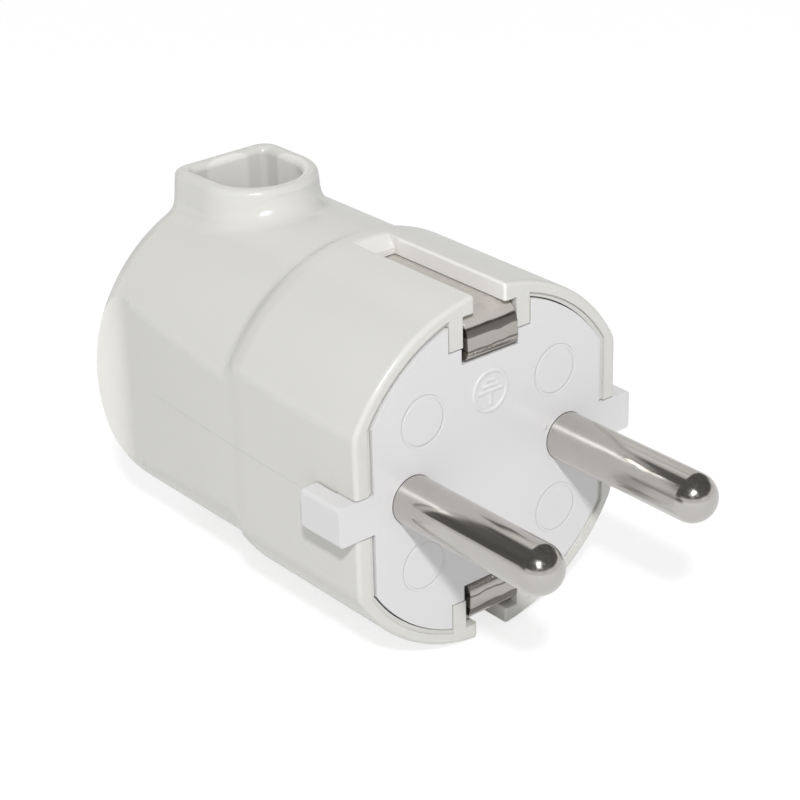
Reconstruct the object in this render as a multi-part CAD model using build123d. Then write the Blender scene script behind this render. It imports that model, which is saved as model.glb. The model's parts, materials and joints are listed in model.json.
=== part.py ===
from build123d import *

import math
import os

# Millimetres. The origin is on the carrier's front face, midway between the pins.
# The pins point along -Y, the housing lies behind the face, and the cable spout stands up along +Z.

# Contact pins
PIN_R = 2.4
PIN_PITCH = 19.0
PIN_REACH = 19.0
PIN_HOLE_GAP = 0.02
PIN_FOOT_R = 2.2
PIN_FOOT_REACH = 0.03
HEAD_WIDTH = 6.8
HEAD_HEIGHT = 7.8
HEAD_DEPTH = 8.9
HEAD_ROUND = 1.0
HEAD_ROOM = 0.61
WIRE_HOLE_R = 1.7
WIRE_HOLE_BACK = 3.3

# Housing, outside
FLANK_CUT = 2.0
STEP_DROP = 0.9
STEP_RUN = 2.4
STEP_BACKSET = 1.3
BACK_Y = 42.3
GRIP_DRAW = 1.55
GRIP_TO_BACK = 4.0
LIP_FLARE = 2.0
LIP_TO_BACK = 0.5
CORNER_ROUND = 2.5
RIM_ROUND = 0.45
BACK_ROUND = 2.5

# Housing, inside
ARC_WALL = 1.55
FLANK_WALL = 1.95
BACK_WALL = 1.9
MOUTH_RELIEF = 0.65
THROAT_SLOPE = 0.6
RIM_REBATE_WIDTH = 0.45
RIM_REBATE_DEPTH = 0.3
SEAT_RIB_WIDTH = 1.4
SEAT_RIB_HEIGHT = 1.3
SEAT_RIB_ANGLE = 38.0

# Cable spout
SPOUT_RISE = 2.8
SPOUT_HALF = 6.28
SPOUT_LENGTH = 12.6
SPOUT_DRAFT = 5.0
SPOUT_ROOT = 8.0
SPOUT_BACK_INSET = 0.9
SPOUT_WALL = 1.6
SPOUT_CORNER = 2.0
SPOUT_INNER_CORNER = 0.7
SPOUT_BLEND = 2.2
SPOUT_RIM_ROUND = 0.7

# Earth slots in the housing and the walls beside the contacts
SLOT_HALF = 1.85
SLOT_SHY = 1.15
SLOT_SILL = 0.7
SLOT_RAMP = 1.0
SLOT_EDGE_ROUND = 0.3
GUIDE_GAP = 0.27
GUIDE_WALL = 1.6
GUIDE_REACH = 3.0
GUIDE_SHY = 1.2

# Carrier
FIT_GAP = 0.12
PLATE = 3.2
LUG_HALF = 1.99
LUG_REACH = 2.0
LUG_DEPTH = 5.8
LUG_NECK = 2.7
LUG_ROUND = 0.4
LUG_GAP = 0.1
BOSS_R = 4.3
BOSS_END_Y = 12.0
POST_R = 2.5
POST_INSET = 1.73
POST_ANGLE = 42.4
SPINE_HALF = 3.0
SPINE_END_Y = 16.7
RIB = 1.6

# Earth bow
STRIP = 0.8
STRIP_HALF = 3.0
STRIP_TOP_GAP = 0.12
STRIP_BEND = 0.9
SPRING_BEND = 2.0
HOOK_Y = -0.4
HOOK_END_Z = 11.6
HOOK_LEG = 1.5
HOOK_BEND = 0.7
NOTCH_GAP = 0.1
NOTCH_SIDE_GAP = 0.45
SPRING_GAP = 0.45
SEAT_GAP = 0.05
LAND_GAP = 0.1
LAND_OVERRUN = 0.6

# Contact bridge and cord grip
BRIDGE = 2.6
BRIDGE_SIDE_ROOM = 0.6
BRIDGE_REST = 2.6
BRIDGE_ROUND = 2.5
WINDOW_HALF = 4.3
WINDOW_BOTTOM = 5.0
TRAY_TOP = 3.0
TRAY = 2.0
TRAY_LENGTH = 9.4
CLAMP_BACKSET = 3.8
CLAMP_WIDTH = 5.0
CLAMP_PITCH = 13.4
CLAMP_SEAT_Z = 2.6
CLAMP_THICKNESS = 2.0
CLAMP_ARCH_R = 3.9
CLAMP_POST_R = 2.3

# Screws and nuts
TERMINAL_R = 1.5
TERMINAL_HEAD_R = 2.6
TERMINAL_HEAD = 1.5
TERMINAL_LENGTH = 4.6
BRIDGE_SCREW_R = 1.2
BRIDGE_SCREW_HEAD_R = 2.2
BRIDGE_SCREW_HEAD = 1.4
BRIDGE_SCREW_LENGTH = 8.0
CLAMP_SCREW_R = 1.2
CLAMP_SCREW_HEAD_R = 2.2
CLAMP_SCREW_HEAD = 1.4
CLAMP_SCREW_LENGTH = 8.0
EARTH_SCREW_R = 1.5
EARTH_SCREW_HEAD_R = 2.7
EARTH_SCREW_HEAD = 1.6
EARTH_SCREW_LENGTH = 6.0
WASHER_SIZE = 6.0
WASHER = 0.8
NUT_SIZE = 5.5
NUT = 2.4
COVER_SCREW_R = 1.5
COVER_HEAD_R = 2.75
COVER_HEAD = 1.9
COVER_SCREW_INSET = 5.4
COVER_SCREW_LENGTH = 11.0
COUNTERBORE_R = 3.1
COUNTERBORE = 2.7
PILLAR_WALL = 1.4
NUT_LUG_DEPTH = 5.6
NUT_LUG_HALF = 4.2
THREAD_GAP = 0.04
SHANK_GAP = 0.2
HEAD_GAP = 0.35
DRIVE_DEPTH = 0.8
DRIVE_WIDTH = 0.8

# Worked out from the sizes above
PIN_X = PIN_PITCH / 2
HEAD_FRONT_Y = BOSS_END_Y + SEAT_GAP
HEAD_BACK_Y = HEAD_FRONT_Y + HEAD_DEPTH
HEAD_OUTER_X = PIN_X + HEAD_WIDTH / 2
BRIDGE_Y = HEAD_BACK_Y + SEAT_GAP
BRIDGE_BACK_Y = BRIDGE_Y + BRIDGE
GRIP_Y = BACK_Y - GRIP_TO_BACK
GRIP_BOW_R = (GRIP_Y**2 + GRIP_DRAW**2) / (2 * GRIP_DRAW)
DRAW_AT_BRIDGE = GRIP_BOW_R - math.sqrt(GRIP_BOW_R**2 - BRIDGE_BACK_Y**2)
FLANK_X = HEAD_OUTER_X + HEAD_ROOM + DRAW_AT_BRIDGE + FLANK_WALL
HOUSING_R = FLANK_X + FLANK_CUT
REAR_R = HOUSING_R - STEP_DROP
GRIP_X = FLANK_X - GRIP_DRAW
LIP_X = GRIP_X + LIP_FLARE
LIP_Y = BACK_Y - LIP_TO_BACK
MOUTH_R = HOUSING_R - ARC_WALL
THROAT_R = REAR_R - ARC_WALL - 0.1
MOUTH_FLANK_X = FLANK_X - FLANK_WALL
SPOUT_TOP = REAR_R + SPOUT_RISE
SPOUT_BACK_Y = BACK_Y - SPOUT_BACK_INSET
SPOUT_FRONT_Y = SPOUT_BACK_Y - SPOUT_LENGTH
CAVITY_END_Y = BACK_Y - BACK_WALL
PLATE_R = MOUTH_R - FIT_GAP
PLATE_FLANK_X = MOUTH_FLANK_X - FIT_GAP
LUG_X = FLANK_X + LUG_REACH
GUIDE_INNER_X = STRIP_HALF + GUIDE_GAP
GUIDE_OUTER_X = GUIDE_INNER_X + GUIDE_WALL
GUIDE_Z = math.sqrt(MOUTH_R**2 - GUIDE_INNER_X**2) - GUIDE_REACH
STRIP_TOP = math.sqrt(MOUTH_R**2 - STRIP_HALF**2) - STRIP_TOP_GAP
STRIP_UNDER = STRIP_TOP - STRIP
NOTCH_HALF = STRIP_HALF + NOTCH_SIDE_GAP
NOTCH_Z = HOOK_END_Z - NOTCH_GAP
HOOK_BACK_Y = HOOK_Y + STRIP / 2 + HOOK_LEG
SPINE_TOP = STRIP_UNDER - SPRING_GAP
BOW_FRONT_Y = SPINE_END_Y + SEAT_GAP
BOW_BACK_Y = BOW_FRONT_Y + STRIP
MOUTH_DEPTH = BOW_BACK_Y + MOUTH_RELIEF
STEP_Y = MOUTH_DEPTH + STEP_BACKSET
SLOT_END_Y = BOW_FRONT_Y - SLOT_SHY
GUIDE_END_Y = MOUTH_DEPTH - GUIDE_SHY
POST_RADIUS = THROAT_R - POST_INSET - POST_R
POST_X = POST_RADIUS * math.cos(math.radians(POST_ANGLE))
POST_Z = POST_RADIUS * math.sin(math.radians(POST_ANGLE))
BRIDGE_HALF = HEAD_OUTER_X + HEAD_ROOM - BRIDGE_SIDE_ROOM
BRIDGE_HEIGHT = POST_Z + BRIDGE_REST
POST_END_Y = BRIDGE_Y - SEAT_GAP
WIRE_HOLE_Y = HEAD_FRONT_Y + WIRE_HOLE_BACK
TERMINAL_TIP_Y = WIRE_HOLE_Y + WIRE_HOLE_R + 0.1
CLAMP_X = CLAMP_PITCH / 2
CLAMP_Y = BRIDGE_BACK_Y + CLAMP_BACKSET
TRAY_HALF = CLAMP_X + CLAMP_POST_R
TRAY_END_Y = BRIDGE_BACK_Y + TRAY_LENGTH
COVER_SCREW_Z = COVER_SCREW_INSET - THROAT_R
PILLAR_R = COUNTERBORE_R + PILLAR_WALL
PILLAR_Y = TRAY_END_Y + SEAT_GAP
COVER_SEAT_Y = BACK_Y - COUNTERBORE


def outline(*corners):
    """Flat shape through (x, y, radius) corners, each rounded by its radius."""
    face = make_face(Polyline(*[(x, y) for x, y, _ in corners], close=True))
    for x, y, radius in corners:
        if radius > 0:
            face = fillet(face.vertices().sort_by_distance((x, y, 0))[0], radius)
    return face


def along_y(face, start, end):
    """Carries a face drawn in X and Z from y = start back to y = end."""
    plane = Plane(origin=(0, start, 0), x_dir=(1, 0, 0), z_dir=(0, -1, 0))
    return extrude(plane * face, amount=end - start, dir=(0, 1, 0))


def rod_y(x, z, radius, start, end):
    """Round bar along Y."""
    return along_y(Pos(x, z) * Circle(radius), start, end)


def rod_z(x, y, radius, low, high):
    """Round bar along Z."""
    return Pos(x, y, (low + high) / 2) * Cylinder(radius, high - low)


def block(x, y, z):
    """Box from three (low, high) pairs."""
    centre = Pos(sum(x) / 2, sum(y) / 2, sum(z) / 2)
    return centre * Box(x[1] - x[0], y[1] - y[0], z[1] - z[0])


def both_ways(shape):
    """The shape with its copy mirrored top to bottom."""
    return shape + mirror(shape, about=Plane.XY)


def both_sides(shape):
    """The shape with its copy mirrored left to right."""
    return shape + mirror(shape, about=Plane.YZ)


def grip_line(inset):
    """Right flank seen from above: drawn in from the rim to the finger grip."""
    start = (FLANK_X - inset, 0)
    return TangentArc(start, (GRIP_X - inset, GRIP_Y), tangent=(0, 1))


def between_flanks(*edges):
    """Everything between the flank line, given from front to back, and its mirror image."""
    front = edges[0] @ 0
    back = edges[-1] @ 1
    rest = Polyline(back, (0, back.Y), (0, front.Y), front)
    half = make_face(Curve() + [*edges, rest])
    return extrude(half + mirror(half, about=Plane.YZ), amount=2 * HOUSING_R, both=True)


def straight_flanks(inset):
    """Flanks that run on straight behind the grip, to past the housing's back."""
    draw = grip_line(inset)
    lead = Line((FLANK_X - inset, -PLATE), (FLANK_X - inset, 0))
    run = Line(draw @ 1, (draw @ 1) + (draw % 1) * BACK_ROUND * 4)
    return between_flanks(lead, draw, run)


def flared_flanks():
    """Flanks that flare out again behind the grip, to the rear lip."""
    draw = grip_line(0)
    flare = TangentArc((GRIP_X, GRIP_Y), (LIP_X, LIP_Y), tangent=draw % 1)
    run = Line(flare @ 1, (flare @ 1) + (flare % 1) * BACK_ROUND * 2)
    return between_flanks(draw, flare, run)


def hood():
    """Round hood with two drawn-in flanks; it eases down to a smaller radius at the step."""
    front = STEP_Y - STEP_RUN / 2
    rim = Polyline((0, 0), (HOUSING_R, 0), (HOUSING_R, front))
    fall = TangentArc(rim @ 1, ((HOUSING_R + REAR_R) / 2, STEP_Y), tangent=(0, 1))
    foot = TangentArc(fall @ 1, (REAR_R, STEP_Y + STEP_RUN / 2), tangent=fall % 1)
    end = GRIP_Y + 1
    rest = Polyline(foot @ 1, (REAR_R, end), (0, end), (0, 0))
    turned = revolve(make_face(Curve() + [rim, fall, foot, rest]), axis=Axis.Y)
    body = turned & straight_flanks(0)
    corners = [e for e in body.edges() if 0.1 < e.center().Y < end - 0.1]
    body = fillet(corners, CORNER_ROUND)
    return fillet(body.edges().group_by(Axis.Y)[0], RIM_ROUND)


def rear_lip():
    """Rounded back end whose flanks flare out from the finger grips."""
    start = GRIP_Y - 1
    profile = outline(
        (0, start, 0), (REAR_R, start, 0), (REAR_R, BACK_Y, BACK_ROUND), (0, BACK_Y, 0)
    )
    return revolve(profile, axis=Axis.Y) & flared_flanks()


def dee(grow):
    """D shape seen from above: a half circle in front and a straight back with round corners.

    It is the spout's outline at the rim, grown all round.
    """
    half = SPOUT_HALF + grow
    front_y = SPOUT_FRONT_Y - grow
    back_y = SPOUT_BACK_Y + grow
    middle_y = front_y + half
    nose = ThreePointArc((half, middle_y), (0, front_y), (-half, middle_y))
    rest = Polyline((-half, middle_y), (-half, back_y), (half, back_y), (half, middle_y))
    face = make_face(Curve() + [nose, rest])
    return fillet(face.vertices().group_by(Axis.Y)[-1], max(SPOUT_CORNER + grow, SPOUT_INNER_CORNER))


def spout_foot(edge):
    """Whether an edge is where the spout stands on the housing."""
    centre = edge.center()
    near = abs(centre.X) < SPOUT_HALF + 0.5 and SPOUT_FRONT_Y - 0.5 < centre.Y < BACK_Y
    upright = abs(edge.tangent_at(0.5).Z) > 0.9
    return near and SPOUT_TOP - 8 < centre.Z < SPOUT_TOP - 1 and not upright


def spout():
    """D-shaped spout whose outer walls widen downwards."""
    root = Pos(0, 0, SPOUT_TOP - SPOUT_ROOT) * dee(SPOUT_ROOT * math.tan(math.radians(SPOUT_DRAFT)))
    return loft([root, Pos(0, 0, SPOUT_TOP) * dee(0)])


def outer_form():
    """Housing without its hollows."""
    body = hood() + rear_lip() + spout()
    return fillet([e for e in body.edges() if spout_foot(e)], SPOUT_BLEND)


def cavity():
    """Hollow of the housing: a wide mouth, a sloped shoulder and a narrower throat."""
    profile = Polygon(
        (0, 0),
        (MOUTH_R, 0),
        (MOUTH_R, MOUTH_DEPTH),
        (THROAT_R, MOUTH_DEPTH + THROAT_SLOPE),
        (THROAT_R, CAVITY_END_Y),
        (0, CAVITY_END_Y),
        align=None,
    )
    return revolve(profile, axis=Axis.Y) & straight_flanks(FLANK_WALL)


def rim_rebate():
    """Shallow rebate round the inner edge of the rim."""
    grow = RIM_REBATE_WIDTH
    opening = Circle(MOUTH_R + grow) & Rectangle(2 * (MOUTH_FLANK_X + grow), 3 * MOUTH_R)
    return along_y(opening, 0, RIM_REBATE_DEPTH)


def cable_bore():
    """D-shaped way in through the spout, down into the hollow."""
    return extrude(dee(-SPOUT_WALL), amount=SPOUT_TOP + 1, dir=(0, 0, 1))


def earth_slot():
    """Slot over an earth contact, open at the rim, with a steep ramp at its blind end."""
    low = GUIDE_Z
    high = HOUSING_R + 1
    foot = STRIP_TOP + SLOT_SILL
    ramp = SLOT_END_Y + SLOT_RAMP * (high - foot) / (HOUSING_R - foot)
    side = Polygon(
        (-1, low), (SLOT_END_Y, low), (SLOT_END_Y, foot), (ramp, high), (-1, high), align=None
    )
    return extrude(Plane.YZ * side, amount=SLOT_HALF, both=True)


def contact_land():
    """Flat inside the wall round a slot, which the earth contact lies close under."""
    across = (-GUIDE_INNER_X, GUIDE_INNER_X)
    along = (0, SLOT_END_Y + LAND_OVERRUN)
    return both_ways(block(across, along, (STRIP_TOP + LAND_GAP, MOUTH_R + ARC_WALL / 4)))


def guide_walls():
    """Two walls inside the housing that stand beside each earth contact."""
    across = (GUIDE_INNER_X, GUIDE_OUTER_X)
    wall = block(across, (0, GUIDE_END_Y), (GUIDE_Z, MOUTH_R + ARC_WALL / 4))
    return both_ways(both_sides(wall))


def seat_ribs():
    """Four ribs inside the mouth; the carrier's plate sits against their front ends."""
    rib = block(
        (MOUTH_R - SEAT_RIB_HEIGHT, MOUTH_R + ARC_WALL / 4),
        (PLATE + SEAT_GAP, MOUTH_DEPTH),
        (-SEAT_RIB_WIDTH / 2, SEAT_RIB_WIDTH / 2),
    )
    return both_ways(both_sides(Rot(0, -SEAT_RIB_ANGLE, 0) * rib))


def lug_notches():
    """Notches in the rim that the carrier's lugs pass through."""
    half = LUG_HALF + LUG_GAP
    return block((-HOUSING_R, HOUSING_R), (-1, LUG_NECK + LUG_GAP), (-half, half))


def screw_pillar():
    """Pillar from the back wall to the cord tray, round the cover screw."""
    return rod_y(0, COVER_SCREW_Z, PILLAR_R, PILLAR_Y, CAVITY_END_Y + BACK_WALL / 2)


def cover_screw_hole():
    """Clear hole and counterbore for the cover screw."""
    hole = rod_y(0, COVER_SCREW_Z, COVER_SCREW_R + SHANK_GAP, PILLAR_Y - 1, BACK_Y + 1)
    return hole + rod_y(0, COVER_SCREW_Z, COUNTERBORE_R, COVER_SEAT_Y, BACK_Y + 1)


def slot_edges(body):
    """Outer edges of the two earth slots: both long lips and the blind end."""
    return [
        e
        for e in body.edges()
        if abs(e.center().X) < SLOT_HALF + 0.02
        and abs(e.center().Z) > HOUSING_R - 0.4
        and -1 < e.center().Y < SLOT_END_Y + 2 * SLOT_RAMP
        and e.length > SLOT_HALF
    ]


def housing():
    """Hood with its spout, hollow, slots, notches and inner walls."""
    body = outer_form() - cavity() - rim_rebate()
    body += guide_walls() + contact_land() + seat_ribs() + screw_pillar()
    body -= both_ways(earth_slot())
    body -= lug_notches() + cover_screw_hole() + cable_bore()
    body = fillet(slot_edges(body), SLOT_EDGE_ROUND)
    return fillet(body.edges().group_by(Axis.Z)[-1], SPOUT_RIM_ROUND)


def plate():
    """Front plate of the carrier, notched for the earth contacts and the guide walls."""
    face = Circle(PLATE_R) & Rectangle(2 * PLATE_FLANK_X, 3 * PLATE_R)
    body = along_y(face, 0, PLATE)
    guide_half = GUIDE_OUTER_X + FIT_GAP
    notch = block((-guide_half, guide_half), (-1, PLATE + 1), (GUIDE_Z - FIT_GAP, HOUSING_R))
    return body - both_ways(notch)


def hook_notch():
    """Pocket in the face that the end of an earth contact turns into."""
    return block((-NOTCH_HALF, NOTCH_HALF), (-1, HOOK_BACK_Y + SPRING_GAP), (NOTCH_Z, HOUSING_R))


def lug():
    """Right lug: a neck through the rim's notch and a thumb block outside the flank."""
    inner = FLANK_X + LUG_GAP
    thumb = block((inner, LUG_X), (0, LUG_DEPTH), (-LUG_HALF, LUG_HALF))
    edges = thumb.edges()
    outer = edges.group_by(Axis.X)[-1]
    behind = edges.group_by(Axis.Y)[-1]
    far = LUG_X - inner
    rounded = [e for e in outer + behind if e.center().Y > 0 and e.center().X > LUG_X - far]
    thumb = fillet(rounded, LUG_ROUND)
    neck = block((PLATE_FLANK_X - 1, inner + LUG_ROUND), (0, LUG_NECK), (-LUG_HALF, LUG_HALF))
    return neck + thumb


def spine():
    """Upright web that the earth bow sits on, with the pocket for the earth nut."""
    body = block((-SPINE_HALF, SPINE_HALF), (PLATE / 2, SPINE_END_Y), (-SPINE_TOP, SPINE_TOP))
    half = NUT_SIZE / 2 + THREAD_GAP
    pocket = block((-half, half), (SPINE_END_Y - NUT - THREAD_GAP, SPINE_END_Y + 1), (-half, half))
    front = BOW_BACK_Y + WASHER - EARTH_SCREW_LENGTH - 1
    return body - pocket - rod_y(0, 0, EARTH_SCREW_R + THREAD_GAP, front, SPINE_END_Y)


def side_ribs():
    """Web from the spine to the right pin's boss and a web between the two posts."""
    inner = SPINE_HALF - RIB / 2
    across = block((inner, PIN_X), (PLATE / 2, BOSS_END_Y), (-RIB / 2, RIB / 2))
    beside = (POST_X - RIB / 2, POST_X + RIB / 2)
    upright = block(beside, (PLATE / 2, BOSS_END_Y - PLATE), (-POST_Z, POST_Z))
    return across + upright


def pin_carrier():
    """Insert with its face, lugs, pin bosses, screw posts and spine."""
    side = lug() + rod_y(PIN_X, 0, BOSS_R, PLATE / 2, BOSS_END_Y) + side_ribs()
    post = rod_y(POST_X, POST_Z, POST_R, PLATE / 2, POST_END_Y)
    body = plate() + both_sides(side) + both_ways(both_sides(post)) + spine()
    core = rod_y(
        POST_X, POST_Z, BRIDGE_SCREW_R + THREAD_GAP, POST_END_Y - BRIDGE_SCREW_LENGTH, POST_END_Y
    )
    pin_hole = rod_y(PIN_X, 0, PIN_R + PIN_HOLE_GAP, -1, BOSS_END_Y)
    return body - both_ways(both_sides(core) + hook_notch()) - both_sides(pin_hole)


def pin(side):
    """Round contact pin with a domed tip and a square rear head drilled for the wire."""
    x = side * PIN_X
    shaft = rod_y(x, 0, PIN_R, PIN_R - PIN_REACH, -PIN_FOOT_REACH)
    foot = rod_y(x, 0, PIN_FOOT_R, -PIN_FOOT_REACH, HEAD_FRONT_Y + 1)
    tip = Pos(x, PIN_R - PIN_REACH, 0) * Sphere(PIN_R)
    section = Pos(x, 0) * RectangleRounded(HEAD_WIDTH, HEAD_HEIGHT, HEAD_ROUND)
    head = along_y(section, HEAD_FRONT_Y, HEAD_BACK_Y)
    wire_hole = rod_z(x, WIRE_HOLE_Y, WIRE_HOLE_R, -HEAD_HEIGHT, HEAD_HEIGHT)
    screw_hole = rod_y(x, 0, TERMINAL_R + THREAD_GAP, WIRE_HOLE_Y, HEAD_BACK_Y + 1)
    return shaft + foot + tip + head - wire_hole - screw_hole


def screw(radius, length, head_r, head):
    """Round-headed screw with a straight slot, its tip at the origin and its head up along +Z."""
    shank = Cylinder(radius, length, align=(Align.CENTER, Align.CENTER, Align.MIN))
    top = Pos(0, 0, length) * Cylinder(head_r, head, align=(Align.CENTER, Align.CENTER, Align.MIN))
    top = chamfer(top.edges().group_by(Axis.Z)[-1], head / 3)
    groove = Pos(0, 0, length + head) * Box(2 * head_r, DRIVE_WIDTH, DRIVE_DEPTH * 2)
    return shank + top - groove


def screw_from_back(x, z, tip_y, radius, length, head_r, head):
    """The screw laid along Y with its head towards the back."""
    return Pos(x, tip_y, z) * Rot(-90, 0, 0) * screw(radius, length, head_r, head)


def terminal_screw(side):
    """Screw in the back of a pin's head."""
    return screw_from_back(
        side * PIN_X, 0, TERMINAL_TIP_Y, TERMINAL_R, TERMINAL_LENGTH, TERMINAL_HEAD_R, TERMINAL_HEAD
    )


def bow_line():
    """Middle line of the earth bow's upper half, from the hook's end to the middle of its back."""
    front = HOOK_Y + STRIP / 2
    back = BOW_FRONT_Y + STRIP / 2
    end = HOOK_END_Z + STRIP / 2
    top = STRIP_TOP - STRIP / 2
    corners = [(front + HOOK_LEG, end), (front, end), (front, top), (back, top), (back, 0)]
    return FilletPolyline(*corners, radius=[HOOK_BEND, SPRING_BEND, STRIP_BEND])


def earth_bow():
    """Bent strip: a spring contact at the top and at the bottom, joined by its back."""
    half = trace(bow_line(), line_width=STRIP)
    strip = both_ways(extrude(Plane.YZ * half, amount=STRIP_HALF, both=True))
    return strip - rod_y(0, 0, EARTH_SCREW_R + SHANK_GAP, BOW_FRONT_Y - 1, BOW_BACK_Y + 1)


def square_nut(x, y, z):
    """Square nut whose front face is at y, on an axis along Y."""
    half = NUT_SIZE / 2
    body = block((x - half, x + half), (y, y + NUT), (z - half, z + half))
    return body - rod_y(x, z, COVER_SCREW_R + THREAD_GAP, y - 1, y + NUT + 1)


def earth_washer():
    """Square clamping washer behind the bow."""
    half = WASHER_SIZE / 2
    body = block((-half, half), (BOW_BACK_Y, BOW_BACK_Y + WASHER), (-half, half))
    return body - rod_y(0, 0, EARTH_SCREW_R + SHANK_GAP, BOW_BACK_Y - 1, BOW_BACK_Y + WASHER + 1)


def earth_screw():
    """Screw through the washer and the bow into the earth nut."""
    tip = BOW_BACK_Y + WASHER - EARTH_SCREW_LENGTH
    return screw_from_back(
        0, 0, tip, EARTH_SCREW_R, EARTH_SCREW_LENGTH, EARTH_SCREW_HEAD_R, EARTH_SCREW_HEAD
    )


def bridge_frame():
    """U-shaped frame across the pin heads, open upwards between them for the wires."""
    face = RectangleRounded(2 * BRIDGE_HALF, 2 * BRIDGE_HEIGHT, BRIDGE_ROUND)
    face = face & Circle(THROAT_R - 3 * FIT_GAP)
    window_height = 2 * BRIDGE_HEIGHT
    window = Pos(0, window_height / 2 - WINDOW_BOTTOM) * Rectangle(2 * WINDOW_HALF, window_height)
    body = along_y(face - window, BRIDGE_Y, BRIDGE_BACK_Y)
    heads = rod_y(PIN_X, 0, TERMINAL_HEAD_R + HEAD_GAP, BRIDGE_Y - 1, BRIDGE_BACK_Y + 1)
    screws = rod_y(POST_X, POST_Z, BRIDGE_SCREW_R + SHANK_GAP, BRIDGE_Y - 1, BRIDGE_BACK_Y + 1)
    return body - both_sides(heads) - both_ways(both_sides(screws))


def cord_tray():
    """Tray behind the frame with two clamp posts and the lug that holds the cover nut."""
    under = -TRAY_TOP - TRAY
    tray = block((-TRAY_HALF, TRAY_HALF), (BRIDGE_Y, TRAY_END_Y), (under, -TRAY_TOP))
    ridge = block((-CLAMP_X, CLAMP_X), (CLAMP_Y - RIB / 2, CLAMP_Y + RIB / 2), (under, RIB / 2 - TRAY_TOP))
    posts = both_sides(rod_z(CLAMP_X, CLAMP_Y, CLAMP_POST_R, under, CLAMP_SEAT_Z))
    lug_low = COVER_SCREW_Z - NUT_LUG_HALF
    lug_y = TRAY_END_Y - NUT_LUG_DEPTH
    nut_lug = block((-NUT_LUG_HALF, NUT_LUG_HALF), (lug_y, TRAY_END_Y), (lug_low, under))
    return tray + ridge + posts + nut_lug


def tray_holes():
    """Screw holes in the tray's posts and the nut's pocket with its screw hole."""
    low = CLAMP_SEAT_Z + CLAMP_THICKNESS - CLAMP_SCREW_LENGTH
    core = rod_z(CLAMP_X, CLAMP_Y, CLAMP_SCREW_R + THREAD_GAP, low, CLAMP_SEAT_Z + 1)
    half = NUT_SIZE / 2 + THREAD_GAP
    front = TRAY_END_Y - (NUT_LUG_DEPTH + NUT) / 2
    pocket = block(
        (-half, half),
        (front - THREAD_GAP, front + NUT + THREAD_GAP),
        (COVER_SCREW_Z - 2 * NUT_LUG_HALF, COVER_SCREW_Z + half),
    )
    lug_y = TRAY_END_Y - NUT_LUG_DEPTH
    hole = rod_y(0, COVER_SCREW_Z, COVER_SCREW_R + SHANK_GAP, lug_y - 1, TRAY_END_Y + 1)
    return both_sides(core) + pocket + hole


def contact_bridge():
    """Rear bridge that holds the pins and carries the cord grip."""
    return bridge_frame() + cord_tray() - tray_holes()


def cord_clamp():
    """Saddle bar over the cord, arched in the middle."""
    outer_r = CLAMP_ARCH_R + CLAMP_THICKNESS
    half = CLAMP_X + CLAMP_POST_R
    bar = Pos(0, CLAMP_SEAT_Z + CLAMP_THICKNESS / 2) * Rectangle(2 * half, CLAMP_THICKNESS)
    lower_half = Pos(0, -outer_r) * Rectangle(2 * outer_r, 2 * outer_r)
    arch = Pos(0, CLAMP_SEAT_Z) * (Circle(outer_r) - lower_half)
    face = bar + arch - Pos(0, CLAMP_SEAT_Z) * Circle(CLAMP_ARCH_R)
    body = along_y(face, CLAMP_Y - CLAMP_WIDTH / 2, CLAMP_Y + CLAMP_WIDTH / 2)
    top = CLAMP_SEAT_Z + CLAMP_THICKNESS
    hole = rod_z(CLAMP_X, CLAMP_Y, CLAMP_SCREW_R + SHANK_GAP, CLAMP_SEAT_Z - 1, top + 1)
    spot = rod_z(CLAMP_X, CLAMP_Y, CLAMP_SCREW_HEAD_R + SHANK_GAP, top, top + outer_r)
    return Pos(0, 0, SEAT_GAP) * (body - both_sides(hole) - both_sides(spot))


def clamp_screw(side):
    """Screw through the saddle bar into a tray post."""
    low = CLAMP_SEAT_Z + SEAT_GAP + CLAMP_THICKNESS - CLAMP_SCREW_LENGTH
    return Pos(side * CLAMP_X, CLAMP_Y, low) * screw(
        CLAMP_SCREW_R, CLAMP_SCREW_LENGTH, CLAMP_SCREW_HEAD_R, CLAMP_SCREW_HEAD
    )


def bridge_screw(x, z):
    """Screw through the bridge frame into one of the carrier's posts."""
    tip = BRIDGE_BACK_Y - BRIDGE_SCREW_LENGTH
    return screw_from_back(
        x, z, tip, BRIDGE_SCREW_R, BRIDGE_SCREW_LENGTH, BRIDGE_SCREW_HEAD_R, BRIDGE_SCREW_HEAD
    )


def cover_screw():
    """Screw from the counterbore in the housing's back into the cover nut."""
    tip = COVER_SEAT_Y - COVER_SCREW_LENGTH
    return screw_from_back(
        0, COVER_SCREW_Z, tip, COVER_SCREW_R, COVER_SCREW_LENGTH, COVER_HEAD_R, COVER_HEAD
    )


def pieces():
    """Every piece by its node name."""
    found = {
        "housing": housing(),
        "pin_carrier": pin_carrier(),
        "earth_bow": earth_bow(),
        "earth_nut": square_nut(0, SPINE_END_Y - NUT, 0),
        "earth_washer": earth_washer(),
        "earth_screw": earth_screw(),
        "contact_bridge": contact_bridge(),
        "cord_clamp": cord_clamp(),
        "cover_screw": cover_screw(),
        "cover_nut": square_nut(0, TRAY_END_Y - (NUT_LUG_DEPTH + NUT) / 2, COVER_SCREW_Z),
    }
    for name, side in (("left", -1), ("right", 1)):
        found[f"{name}_pin"] = pin(side)
        found[f"{name}_terminal_screw"] = terminal_screw(side)
        found[f"{name}_clamp_screw"] = clamp_screw(side)
    corners = [(-1, 1), (1, 1), (-1, -1), (1, -1)]
    for number, (side, level) in enumerate(corners, start=1):
        found[f"bridge_screw_{number}"] = bridge_screw(side * POST_X, level * POST_Z)
    return found


os.makedirs("parts", exist_ok=True)
for node, shape in pieces().items():
    export_step(shape, f"parts/{node}.step")
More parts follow.
